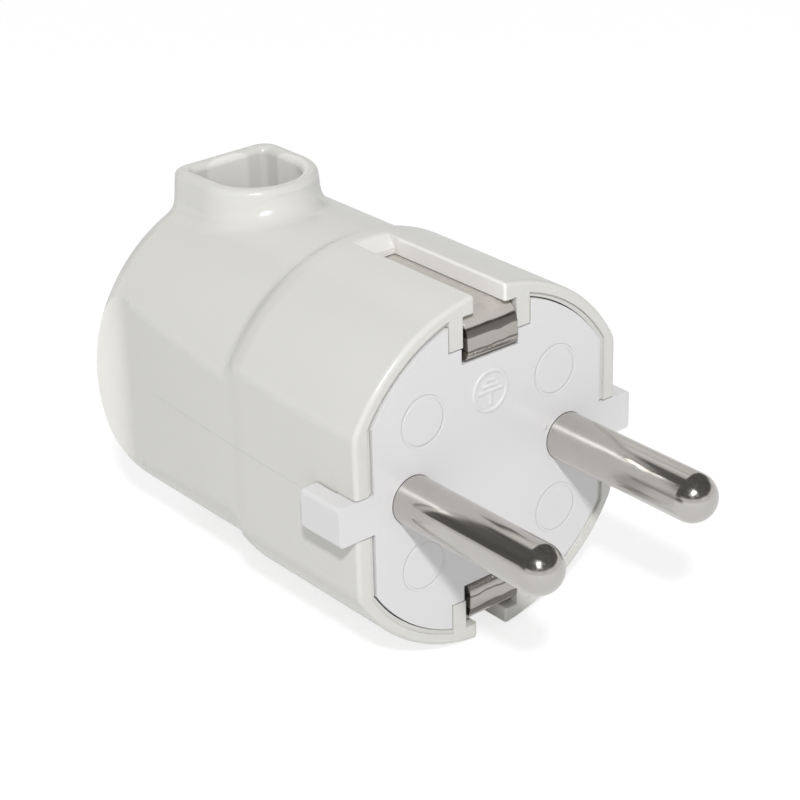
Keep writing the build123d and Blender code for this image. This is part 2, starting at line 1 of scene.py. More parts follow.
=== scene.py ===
"""Looks of an angled earthed plug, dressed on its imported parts.

The origin is on the carrier's front face, midway between the pins. The pins point along -Y, the
housing lies behind the face and the cable spout stands up along +Z. Lengths are in metres.
"""

from __future__ import annotations

import json
import logging
import math
from dataclasses import dataclass, field
from enum import Enum
from typing import Sequence

import bpy
import numpy as np
from mathutils import Matrix, Vector

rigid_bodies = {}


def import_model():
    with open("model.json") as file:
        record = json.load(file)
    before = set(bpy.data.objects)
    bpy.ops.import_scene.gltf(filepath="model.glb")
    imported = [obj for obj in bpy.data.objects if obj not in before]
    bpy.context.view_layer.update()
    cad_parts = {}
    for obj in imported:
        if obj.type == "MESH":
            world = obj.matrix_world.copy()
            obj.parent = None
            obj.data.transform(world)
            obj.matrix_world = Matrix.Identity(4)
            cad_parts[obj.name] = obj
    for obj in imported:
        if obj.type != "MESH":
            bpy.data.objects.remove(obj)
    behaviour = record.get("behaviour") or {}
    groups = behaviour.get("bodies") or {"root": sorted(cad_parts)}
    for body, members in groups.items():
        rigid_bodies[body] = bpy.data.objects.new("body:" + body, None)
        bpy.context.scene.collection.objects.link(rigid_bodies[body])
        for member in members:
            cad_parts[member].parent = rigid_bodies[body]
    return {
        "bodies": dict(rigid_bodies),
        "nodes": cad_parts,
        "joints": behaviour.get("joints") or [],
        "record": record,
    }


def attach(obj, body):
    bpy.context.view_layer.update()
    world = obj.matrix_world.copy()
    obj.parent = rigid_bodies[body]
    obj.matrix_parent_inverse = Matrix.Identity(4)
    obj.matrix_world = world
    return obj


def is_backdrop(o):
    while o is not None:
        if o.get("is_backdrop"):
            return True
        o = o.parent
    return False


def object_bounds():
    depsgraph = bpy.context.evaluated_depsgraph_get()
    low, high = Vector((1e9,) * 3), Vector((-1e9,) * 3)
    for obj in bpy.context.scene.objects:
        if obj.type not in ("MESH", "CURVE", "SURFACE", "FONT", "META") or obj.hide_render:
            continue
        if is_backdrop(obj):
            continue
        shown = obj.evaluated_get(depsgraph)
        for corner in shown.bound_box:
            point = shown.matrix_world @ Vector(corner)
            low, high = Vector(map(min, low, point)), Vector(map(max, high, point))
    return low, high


MM = 0.001
BODY = "root"
LOG = logging.getLogger("plug")

# Places of a Mix node's two inputs and its output, by the kind of value that it mixes.
MIX_PLACES = {"RGBA": (6, 7, 2), "VECTOR": (4, 5, 1)}
EDGE_SAMPLES = 6

# A Point is a place in a plane, a Span where a change starts and ends, a Spot a centre in a plane
# and a radius, and a Shape a mesh's points and faces.
Socket = bpy.types.NodeSocket
Triple = tuple[float, float, float]
Colour = tuple[float, float, float]
Point = tuple[float, float]
Span = tuple[float, float]
Spot = tuple[float, float, float]
Shape = tuple[np.ndarray, list]


class Slot(Enum):
    """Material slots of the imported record."""

    HOUSING = "housing_plastic"
    CARRIER = "carrier_plastic"
    INNER = "inner_plastic"
    PIN = "pin_plating"
    CONTACT = "contact_plating"
    SCREW = "screw_steel"


class Graph:
    """A material's node tree, with short ways to add nodes and join them."""

    def __init__(self, name: str) -> None:
        """Starts an empty tree.

        Args:
            name: Name of the new material.
        """
        self.material = bpy.data.materials.new(name)
        self.material.use_nodes = True
        self.tree = self.material.node_tree
        self.tree.nodes.clear()
        self.out = self.tree.nodes.new("ShaderNodeOutputMaterial")
        self.place = self.tree.nodes.new("ShaderNodeTexCoord").outputs["Object"]

    def add(self, kind: str, **settings: object) -> bpy.types.Node:
        """Adds one node.

        Args:
            kind: Node type without its ShaderNode prefix.
            settings: Attributes to set on it.

        Returns:
            The node.
        """
        node = self.tree.nodes.new("ShaderNode" + kind)
        for key, value in settings.items():
            setattr(node, key, value)
        return node

    def fill(self, socket: Socket, value: object) -> None:
        """Joins an input to a socket, or sets it to a constant."""
        if isinstance(value, Socket):
            self.tree.links.new(value, socket)
        else:
            socket.default_value = value

    def put(self, node: bpy.types.Node, **values: object) -> None:
        """Fills in a node's inputs.

        Args:
            node: Node to fill in.
            values: Input names, with _ for a space, and what goes in.
        """
        for key, value in values.items():
            self.fill(node.inputs[key.replace("_", " ")], value)

    def stretched(self, scale: Sequence[float]) -> Socket:
        """Object coordinates times a scale for each axis."""
        node = self.add("Mapping")
        self.put(node, Vector=self.place, Scale=scale)
        return node.outputs["Vector"]

    def noise(self, size: float, detail: float, vector: Socket | None = None) -> Socket:
        """Soft noise.

        Args:
            size: Width of its blotches, in metres of the vector's space.
            detail: Number of finer layers.
            vector: Coordinates, or None for the object's own.

        Returns:
            The noise's value.
        """
        node = self.add("TexNoise")
        self.put(node, Vector=vector or self.place, Scale=1.0 / size, Detail=detail)
        return node.outputs["Fac"]

    def fitted(self, value: Socket, low: float, high: float, to_low: float, to_high: float) -> Socket:
        """A value's range from low to high carried to another range, and held inside it."""
        node = self.add("MapRange", interpolation_type="SMOOTHSTEP")
        self.put(node, Value=value, From_Min=low, From_Max=high, To_Min=to_low, To_Max=to_high)
        return node.outputs["Result"]

    def maths(self, operation: str, *values: object) -> Socket:
        """One sum on up to three values."""
        node = self.add("Math", operation=operation)
        for socket, value in zip(node.inputs, values):
            self.fill(socket, value)
        return node.outputs["Value"]

    def product(self, first: object, *others: object) -> Socket:
        """All the values multiplied."""
        for other in others:
            first = self.maths("MULTIPLY", first, other)
        return first

    def mix(self, kind: str, share: object, first: object, second: object) -> Socket:
        """Two values mixed.

        Args:
            kind: Kind of value, one of MIX_PLACES.
            share: Share of the second.
            first: Value at a share of 0.
            second: Value at a share of 1.

        Returns:
            The mixture.
        """
        first_at, second_at, out_at = MIX_PLACES[kind]
        node = self.add("Mix", data_type=kind)
        for place, value in ((0, share), (first_at, first), (second_at, second)):
            self.fill(node.inputs[place], value)
        return node.outputs[out_at]

    def mixed(self, share: Socket, first: object, second: object) -> Socket:
        """Two colours mixed by a share."""
        ends = (end if isinstance(end, Socket) else (*end, 1.0) for end in (first, second))
        return self.mix("RGBA", share, *ends)

    def bump(self, height: Socket, distance: float, normal: Socket) -> Socket:
        """Normal of a surface raised by a height from 0 to 1.

        Args:
            height: The height.
            distance: Metres that a height of 1 stands up.
            normal: Normal to start from.

        Returns:
            The new normal.
        """
        node = self.add("Bump")
        self.put(node, Height=height, Distance=distance, Strength=1.0, Normal=normal)
        return node.outputs["Normal"]

    def axes(self) -> tuple[Socket, ...]:
        """The object's own X, Y and Z."""
        node = self.add("SeparateXYZ")
        self.put(node, Vector=self.place)
        return tuple(node.outputs)

    def away(self, axes: Sequence[Socket], centre: Sequence[float]) -> Socket:
        """Distance from a centre in the plane of two axes: sqrt(dx * dx + dz * dz)."""
        first, second = (self.maths("SUBTRACT", axis, middle) for axis, middle in zip(axes, centre))
        square = self.maths("MULTIPLY_ADD", first, first, self.maths("MULTIPLY", second, second))
        return self.maths("SQRT", square)

    def band(self, value: Socket, centre: float, half: float, soft: float) -> Socket:
        """1 where a value lies within half of a centre, easing to 0 over a soft distance."""
        off = self.maths("ABSOLUTE", self.maths("SUBTRACT", value, centre))
        return self.fitted(off, half, half + soft, 1.0, 0.0)

    def spot(self, axes: Sequence[Socket], spot: Spot, core: float, share: float) -> Socket:
        """Round spot that eases to 0 at its edge.

        Args:
            axes: The two axes that it lies in.
            spot: Its centre along each of them, and its radius.
            core: Share of the radius at which it starts to ease.
            share: Value inside that.

        Returns:
            The value.
        """
        *centre, radius = spot
        return self.fitted(self.away(axes, centre), radius * core, radius, share, 0.0)

    def soft_edges(self, radius: float) -> Socket:
        """Normal that is rounded over sharp edges by a radius."""
        node = self.add("Bevel", samples=EDGE_SAMPLES)
        self.put(node, Radius=radius)
        return node.outputs["Normal"]

    def finish(self, shader: bpy.types.Node) -> bpy.types.Material:
        """Joins the shader to the output.

        Args:
            shader: Last shader node.

        Returns:
            The material.
        """
        self.tree.links.new(shader.outputs[0], self.out.inputs["Surface"])
        return self.material


@dataclass(frozen=True)
class Moulded:
    """Glossy moulded thermoplastic with faint clouding and orange peel."""

    name: str
    colour: Colour
    shade: Colour
    roughness: float = 0.22
    spread: float = 0.05
    edge: float = 0.1 * MM
    peel: float = 0.002 * MM
    grain: float = 0.5 * MM
    cloud_size: float = 9 * MM
    cloud_range: Span = (0.35, 0.68)
    smear_size: float = 1.6 * MM
    smear_range: Span = (0.3, 0.7)
    ior: float = 1.5

    def tint(self, g: Graph, base: Socket) -> Socket:
        """Colour marks of one part, over the plastic's own colour."""
        return base

    def relief(self, g: Graph, normal: Socket) -> Socket:
        """Moulded lines of one part, over the plastic's own skin."""
        return normal

    def edges(self, g: Graph) -> Socket:
        """Normal that the skin is laid on, with sharp edges softened."""
        return g.soft_edges(self.edge)

    def material(self) -> bpy.types.Material:
        """Makes the material."""
        g = Graph(self.name)
        cloud = g.fitted(g.noise(self.cloud_size, 3), *self.cloud_range, 0.0, 1.0)
        base = self.tint(g, g.mixed(cloud, self.colour, self.shade))
        smear, half = g.noise(self.smear_size, 4), self.spread / 2
        rough = g.fitted(smear, *self.smear_range, self.roughness - half, self.roughness + half)
        skin = self.relief(g, g.bump(g.noise(self.grain, 2), self.peel, self.edges(g)))
        shader = g.add("BsdfPrincipled")
        g.put(shader, Base_Color=base, Roughness=rough, Normal=skin, IOR=self.ior)
        return g.finish(shader)


@dataclass(frozen=True)
class HousingPlastic(Moulded):
    """The housing's plastic, with parting lines, a few specks and a shade along the step.

    Painted light makes it paler inside the spout and the slots and along the rear lip, and the shade
    along the step is painted shade. A Span of lengths says where a mark starts to change and where it
    has changed, along the axis that ends its name.
    """

    # Painted light: a paler colour inside the spout's bore, where its inner walls would render too dark.
    bore: Point = (0.0, 35.1 * MM)
    bore_reach: Span = (5.2 * MM, 5.5 * MM)
    bore_z: Span = (6.0 * MM, 8.0 * MM)
    spout_painted_light_colour: Colour = (0.80, 0.79, 0.76)
    # Painted light: a paler colour on the slots' walls, where they would render shaded.
    slot_x: Span = (1.95 * MM, 2.05 * MM)
    slot_z: Span = (14.6 * MM, 14.8 * MM)
    slot_wall_y: Span = (14.6 * MM, 15.6 * MM)
    slot_ramp_y: Span = (16.9 * MM, 17.3 * MM)
    slot_ramp_share: float = 0.4
    painted_light_colour: Colour = (0.86, 0.85, 0.82)
    line_at_z: float = 0.4 * MM
    line_half: float = 0.04 * MM
    line_x: Span = (10.0 * MM, 11.0 * MM)
    line_y: Span = (33.0 * MM, 35.0 * MM)
    line_height: float = 0.02 * MM
    # Painted shade: a darker colour in a band along the step.
    step_at_y: float = 18.3 * MM
    step_half: float = 0.3 * MM
    step_soft: float = 1.1 * MM
    step_rise_x: Span = (5.0 * MM, 13.0 * MM)
    step_fall_x: Span = (15.3 * MM, 15.9 * MM)
    step_shares: Span = (0.1, 0.4)
    painted_step_shade_colour: Colour = (0.55, 0.545, 0.52)
    # Painted light: the paler slot colour along the flared rear lip.
    lip_at_y: float = 41.4 * MM
    lip_soft: float = 3.6 * MM
    lip_x: Span = (12.4 * MM, 14.4 * MM)
    lip_painted_light_share: float = 0.3
    rim_y: Span = (0.7 * MM, 1.2 * MM)
    specks: tuple[Spot, ...] = (
        (9.5 * MM, -1.2 * MM, 0.07 * MM),
        (21.0 * MM, 3.0 * MM, 0.05 * MM),
        (26.5 * MM, -4.0 * MM, 0.06 * MM),
    )
    speck_core: float = 0.5
    speck_share: float = 0.7
    speck_colour: Colour = (0.40, 0.38, 0.34)

    def tint(self, g: Graph, base: Socket) -> Socket:
        """Painted light in the spout, the slots and along the lip, painted shade along the step, and the specks."""
        x, y, z = g.axes()
        # Painted light inside the spout's bore.
        bore = g.product(
            g.fitted(g.away((x, y), self.bore), *self.bore_reach, 1.0, 0.0), g.fitted(z, *self.bore_z, 0.0, 1.0)
        )
        # Painted light on the slots' walls.
        slot = g.product(
            g.fitted(g.maths("ABSOLUTE", x), *self.slot_x, 1.0, 0.0),
            g.fitted(y, *self.slot_wall_y, 1.0, self.slot_ramp_share),
            g.fitted(y, *self.slot_ramp_y, 1.0, 0.0),
            g.fitted(g.maths("ABSOLUTE", z), *self.slot_z, 0.0, 1.0),
        )
        # Painted light in the bore, the slots and along the lip, then painted shade along the step.
        base = g.mixed(bore, base, self.spout_painted_light_colour)
        base = g.mixed(slot, base, self.painted_light_colour)
        base = g.mixed(self.lip(g), base, self.painted_light_colour)
        base = g.mixed(self.painted_step_shade(g), base, self.painted_step_shade_colour)
        for speck in self.specks:
            base = g.mixed(g.spot((y, z), speck, self.speck_core, self.speck_share), base, self.speck_colour)
        return base

    def relief(self, g: Graph, normal: Socket) -> Socket:
        """A fine parting line along each flank."""
        x, y, z = g.axes()
        line = g.product(
            g.band(z, self.line_at_z, self.line_half, self.line_half),
            g.fitted(g.maths("ABSOLUTE", x), *self.line_x, 0.0, 1.0),
            g.fitted(y, *self.line_y, 1.0, 0.0),
        )
        return g.bump(line, self.line_height, normal)

    def painted_step_shade(self, g: Graph) -> Socket:
        """Share of the painted shade that lies along the step, stronger toward its ends."""
        x, y, _ = g.axes()
        aside = g.maths("ABSOLUTE", x)
        return g.product(
            g.band(y, self.step_at_y, self.step_half, self.step_soft),
            g.fitted(aside, *self.step_rise_x, *self.step_shares),
            g.fitted(aside, *self.step_fall_x, 1.0, 0.0),
        )

    def lip(self, g: Graph) -> Socket:
        """Share of the painted light, a paler colour, along the flared rear lip."""
        x, y, _ = g.axes()
        return g.product(
            g.band(y, self.lip_at_y, 0.0, self.lip_soft),
            g.fitted(g.maths("ABSOLUTE", x), *self.lip_x, 0.0, self.lip_painted_light_share),
        )

    def edges(self, g: Graph) -> Socket:
        """Softened edges at the rim only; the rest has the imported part's own rounded edges."""
        _, y, _ = g.axes()
        own = g.add("NewGeometry").outputs["Normal"]
        return g.mix("VECTOR", g.fitted(y, *self.rim_y, 1.0, 0.0), own, g.soft_edges(self.edge))


@dataclass(frozen=True)
class CarrierPlastic(Moulded):
    """The carrier's plastic: four blank rings pressed into its face, a little dirt and a nick."""

    upper: Point = (8.1 * MM, 7.4 * MM)
    lower: Point = (8.3 * MM, -7.35 * MM)
    ring_radius: float = 2.45 * MM
    ring_half: float = 0.09 * MM
    ring_depth: float = 0.05 * MM
    face_y: Span = (0.1 * MM, 0.3 * MM)
    dirt: tuple[Spot, ...] = ((-1.2 * MM, 6.2 * MM, 0.16 * MM),)
    dirt_core: float = 0.3
    dirt_share: float = 0.8
    dirt_colour: Colour = (0.42, 0.39, 0.34)
    nick: Spot = (6.9 * MM, 1.7 * MM, 0.3 * MM)
    nick_core: float = 0.5
    nick_grain: float = 0.15 * MM
    nick_depth: float = 0.1 * MM

    def tint(self, g: Graph, base: Socket) -> Socket:
        """Specks of dirt on the face."""
        x, _, z = g.axes()
        for spot in self.dirt:
            base = g.mixed(g.spot((x, z), spot, self.dirt_core, self.dirt_share), base, self.dirt_colour)
        return base

    def relief(self, g: Graph, normal: Socket) -> Socket:
        """The rings' fine grooves and the rough nick beside a pin."""
        x, y, z = g.axes()
        aside = g.maths("ABSOLUTE", x)
        rings = (
            g.band(g.away((aside, z), centre), self.ring_radius, self.ring_half, self.ring_half)
            for centre in (self.upper, self.lower)
        )
        groove = g.product(g.maths("MAXIMUM", *rings), g.fitted(y, *self.face_y, 1.0, 0.0))
        normal = g.bump(groove, -self.ring_depth, normal)
        rough = g.product(g.spot((x, z), self.nick, self.nick_core, 1.0), g.noise(self.nick_grain, 3))
        return g.bump(rough, self.nick_depth, normal)


@dataclass(frozen=True)
class Plated:
    """Bright plated metal with fine lines along one axis and faint tarnish."""

    name: str
    colour: Colour
    tarnish: Colour
    roughness: float = 0.14
    lines: Triple = (1.0, 0.03, 1.0)
    edge: float = 0.06 * MM
    depth: float = 0.0006 * MM
    width: float = 0.12 * MM
    spread_x: float = 0.0
    cloud_size: float = 5 * MM
    cloud_range: Span = (0.4, 0.75)
    cloud_share: float = 0.6
    streak_size: float = 0.25 * MM
    streak_range: Span = (0.35, 0.7)
    streak_change: Span = (-0.03, 0.06)

    def tint(self, g: Graph, base: Socket) -> Socket:
        """Colour marks of one part, over the plating's own colour."""
        return base

    def relief(self, g: Graph, normal: Socket) -> Socket:
        """Forms of one part, over the plating's own skin."""
        return normal

    def metal(self, g: Graph) -> Socket | float:
        """Share of bare bright metal; the rest scatters light as a dull film does."""
        return 1.0

    def material(self) -> bpy.types.Material:
        """Makes the material."""
        g = Graph(self.name)
        long = g.stretched(self.lines)
        cloud = g.fitted(g.noise(self.cloud_size, 4), *self.cloud_range, 0.0, self.cloud_share)
        base = self.tint(g, g.mixed(cloud, self.colour, self.tarnish))
        smooth, dull = (self.roughness + change for change in self.streak_change)
        rough = g.fitted(g.noise(self.streak_size, 4, long), *self.streak_range, smooth, dull)
        skin = self.relief(g, g.bump(g.noise(self.width, 3, long), self.depth, g.soft_edges(self.edge)))
        shader = g.add("BsdfPrincipled")
        g.put(shader, Base_Color=base, Roughness=rough, Normal=skin, Metallic=self.metal(g))
        if self.spread_x:
            across = g.add("CombineXYZ")
            g.put(across, X=1.0)
            g.put(shader, Anisotropic=self.spread_x, Tangent=across.outputs["Vector"])
        return g.finish(shader)


@dataclass(frozen=True)
class ContactPlating(Plated):
    """Plated spring strip: dull flat, a painted reflection round its bend, painted shade at each end's crease."""

    wave: float = 1.4 * MM
    wave_height: float = 0.05 * MM
    wander_size: float = 1.6 * MM
    wander: float = 0.4 * MM
    # Painted reflection: a dark band round the bend.
    dark_at_z: float = 14.5 * MM
    dark_half: float = 0.36 * MM
    dark_soft: float = 0.14 * MM
    painted_reflection_share: float = 0.92
    painted_reflection_and_shade_colour: Colour = (0.16, 0.145, 0.13)
    # Painted shade: a dark line at the crease under the bend.
    crease_at_z: float = 12.75 * MM
    crease_half: float = 0.05 * MM
    crease_soft: float = 0.1 * MM
    crease_y: Span = (0.2 * MM, 0.4 * MM)
    crease_painted_shade_share: float = 0.85
    film_z: Span = (14.85 * MM, 15.05 * MM)
    film_metal: float = 0.15

    def tint(self, g: Graph, base: Socket) -> Socket:
        """A painted reflection round the bend and painted shade at the crease under it, which both wander a little.
        """
        _, y, z = g.axes()
        drift = g.maths("SUBTRACT", g.noise(self.wander_size, 1), 0.5)
        height = g.maths("MULTIPLY_ADD", drift, self.wander, g.maths("ABSOLUTE", z))
        # Painted reflection round the bend.
        dark = g.product(g.band(height, self.dark_at_z, self.dark_half, self.dark_soft), self.painted_reflection_share)
        # Painted shade at the crease.
        crease = g.product(
            g.band(height, self.crease_at_z, self.crease_half, self.crease_soft),
            g.fitted(y, *self.crease_y, self.crease_painted_shade_share, 0.0),
        )
        return g.mixed(crease, g.mixed(dark, base, self.painted_reflection_and_shade_colour), self.painted_reflection_and_shade_colour)

    def relief(self, g: Graph, normal: Socket) -> Socket:
        """Low waves along the strip's length."""
        return g.bump(g.noise(self.wave, 1, g.stretched(self.lines)), self.wave_height, normal)

    def metal(self, g: Graph) -> Socket | float:
        """Bright round the bend, dull along the contact's flat length."""
        _, _, z = g.axes()
        return g.fitted(g.maths("ABSOLUTE", z), *self.film_z, 1.0, self.film_metal)


@dataclass
class Finishes:
    """Every finish of the plug, made once."""

    by_slot: dict[Slot, bpy.types.Material] = field(init=False)
    sign: bpy.types.Material = field(init=False)

    def __post_init__(self) -> None:
        """Makes the materials."""
        housing = HousingPlastic("housing_gloss", colour=(0.678, 0.673, 0.638), shade=(0.672, 0.667, 0.631))
        carrier = CarrierPlastic(
            "carrier_white",
            colour=(0.723, 0.718, 0.723),
            shade=(0.716, 0.711, 0.716),
            roughness=0.34,
            peel=0.004 * MM,
            grain=0.3 * MM,
        )
        sign = Moulded("sign_white", colour=(0.723, 0.718, 0.723), shade=(0.71, 0.705, 0.71), roughness=0.34)
        inner = Moulded("inner_white", colour=(0.74, 0.73, 0.70), shade=(0.71, 0.70, 0.67), roughness=0.5)
        pin = Plated(
            "pin_nickel",
            colour=(0.615, 0.597, 0.57),
            tarnish=(0.565, 0.545, 0.515),
            roughness=0.15,
            depth=0.001 * MM,
        )
        contact = ContactPlating(
            "contact_nickel",
            colour=(0.53, 0.50, 0.465),
            tarnish=(0.47, 0.435, 0.39),
            roughness=0.22,
            edge=0.14 * MM,
            lines=(1.0, 0.04, 0.04),
            depth=0.002 * MM,
            width=0.16 * MM,
            spread_x=0.7,
        )
        screw = Plated(
            "screw_zinc", colour=(0.58, 0.58, 0.60), tarnish=(0.45, 0.45, 0.46), roughness=0.3, lines=(1.0, 1.0, 1.0)
        )
        self.sign = sign.material()
        self.by_slot = {
            Slot.HOUSING: housing.material(),
            Slot.CARRIER: carrier.material(),
            Slot.INNER: inner.material(),
            Slot.PIN: pin.material(),
            Slot.CONTACT: contact.material(),
            Slot.SCREW: screw.material(),
        }


def grid_faces(rows: int, columns: int, round_rows: bool, round_columns: bool) -> np.ndarray:
    """Corner numbers of the squares of a grid, by counting along columns first.

    Args:
        rows: Number of grid rows.
        columns: Number of points in a row.
        round_rows: Whether the last row joins the first.
        round_columns: Whether the last column joins the first.

    Returns:
        Four point numbers for each square.
    """
    i, j = np.meshgrid(
        np.arange(rows if round_rows else rows - 1),
        np.arange(columns if round_columns else columns - 1),
        indexing="ij",
    )
    down, right = (i + 1) % rows, (j + 1) % columns
    return np.stack(
        [i * columns + j, i * columns + right, down * columns + right, down * columns + j], axis=-1
    ).reshape(-1, 4)


@dataclass
class Piece:
    """One finished piece of the plug, which rides on the plug's only body."""

    name: str
    points: np.ndarray
    faces: list[Sequence[int]]
    material: bpy.types.Material
    slot: Slot
    smooth_angle: float = 35.0

    def build(self) -> None:
        """Makes the mesh object at the origin and rides it."""
        mesh = bpy.data.meshes.new(self.name)
        mesh.from_pydata(self.points.tolist(), [], self.faces)
        mesh.update()
        mesh.materials.append(self.material)
        mesh.shade_smooth()
        mesh.set_sharp_from_angle(angle=math.radians(self.smooth_angle))
        piece = bpy.data.objects.new(self.name, mesh)
        bpy.context.scene.collection.objects.link(piece)
        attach(piece, BODY)
        LOG.info("%s: %d faces", self.name, len(mesh.polygons))


def bead(line: np.ndarray, closed: bool, width: float, height: float, steps: int = 8) -> Shape:
    """Low raised bead on the carrier's face along a line drawn in X and Z.

    The section is half an ellipse: across = width / 2 * cos(t), out = height * sin(t), for t from 0
    to pi, with its foot sunk a little under the face. An open bead is closed by a cap at each end.

    Args:
        line: Points of the line, as rows of x and z.
        closed: Whether the line is a loop.
        width: Width of the bead.
        height: How far it stands out of the face.
        steps: Parts of the half ellipse.

    Returns:
        Points and faces.
    """
    ahead = np.roll(line, -1, axis=0) - np.roll(line, 1, axis=0)
    if not closed:
        ahead[0], ahead[-1] = line[1] - line[0], line[-1] - line[-2]
    ahead /= np.linalg.norm(ahead, axis=1, keepdims=True)
    side = np.stack([-ahead[:, 1], ahead[:, 0]], axis=1)
    turn = np.linspace(0, math.pi, steps + 1)
    across = np.concatenate([np.cos(turn), [-1.0, 1.0]]) * width / 2
    out = np.concatenate([np.sin(turn) * height, [-height, -height]])
    flat = line[:, None, :] + side[:, None, :] * across[None, :, None]
    points = np.stack([flat[..., 0], np.broadcast_to(-out, flat.shape[:2]), flat[..., 1]], axis=-1)
    rows, columns = points.shape[:2]
    faces = grid_faces(rows, columns, closed, True)[:, ::-1].tolist()
    if not closed:
        faces += [list(range(columns)), list(range(rows * columns - 1, (rows - 1) * columns - 1, -1))]
    return points.reshape(-1, 3), faces


def joined(shapes: list[Shape]) -> Shape:
    """Several meshes' points and faces as one."""
    faces, start = [], 0
    for points, own_faces in shapes:
        faces += [[corner + start for corner in face] for face in own_faces]
        start += len(points)
    return np.concatenate([points for points, _ in shapes]), faces


def circle(x: float, z: float, radius: float, steps: int = 96) -> np.ndarray:
    """Points of a circle: centre plus radius times (cos t, sin t)."""
    turn = np.linspace(0, 2 * math.pi, steps, endpoint=False)
    return np.stack([x + radius * np.cos(turn), z + radius * np.sin(turn)], axis=1)


def stroke(x0: float, z0: float, x1: float, z1: float, steps: int = 2) -> np.ndarray:
    """Points of a straight line."""
    return np.linspace([x0, z0], [x1, z1], steps + 1)


@dataclass
class FaceMarks:
    """Raised earth sign moulded on the carrier's face."""

    finishes: Finishes
    sign_z: float = 7.85 * MM
    sign_radius: float = 2.0 * MM
    sign_width: float = 0.42 * MM
    sign_height: float = 0.1 * MM
    bar_halves: tuple[float, ...] = (1.45 * MM, 0.95 * MM, 0.45 * MM)
    bar_pitch: float = 0.55 * MM
    stem_share: float = 0.7

    def earth_sign(self) -> None:
        """The earth sign in its ring: a stem below and three bars above it."""
        parts = [bead(circle(0, self.sign_z, self.sign_radius), True, self.sign_width, self.sign_height)]
        for number, half in enumerate(self.bar_halves):
            z = self.sign_z + number * self.bar_pitch
            parts.append(bead(stroke(-half, z, half, z), False, self.sign_width, self.sign_height))
        foot = self.sign_z - self.sign_radius * self.stem_share
        parts.append(bead(stroke(0, foot, 0, self.sign_z), False, self.sign_width, self.sign_height))
        points, faces = joined(parts)
        Piece("earth_sign", points, faces, self.finishes.sign, Slot.CARRIER).build()


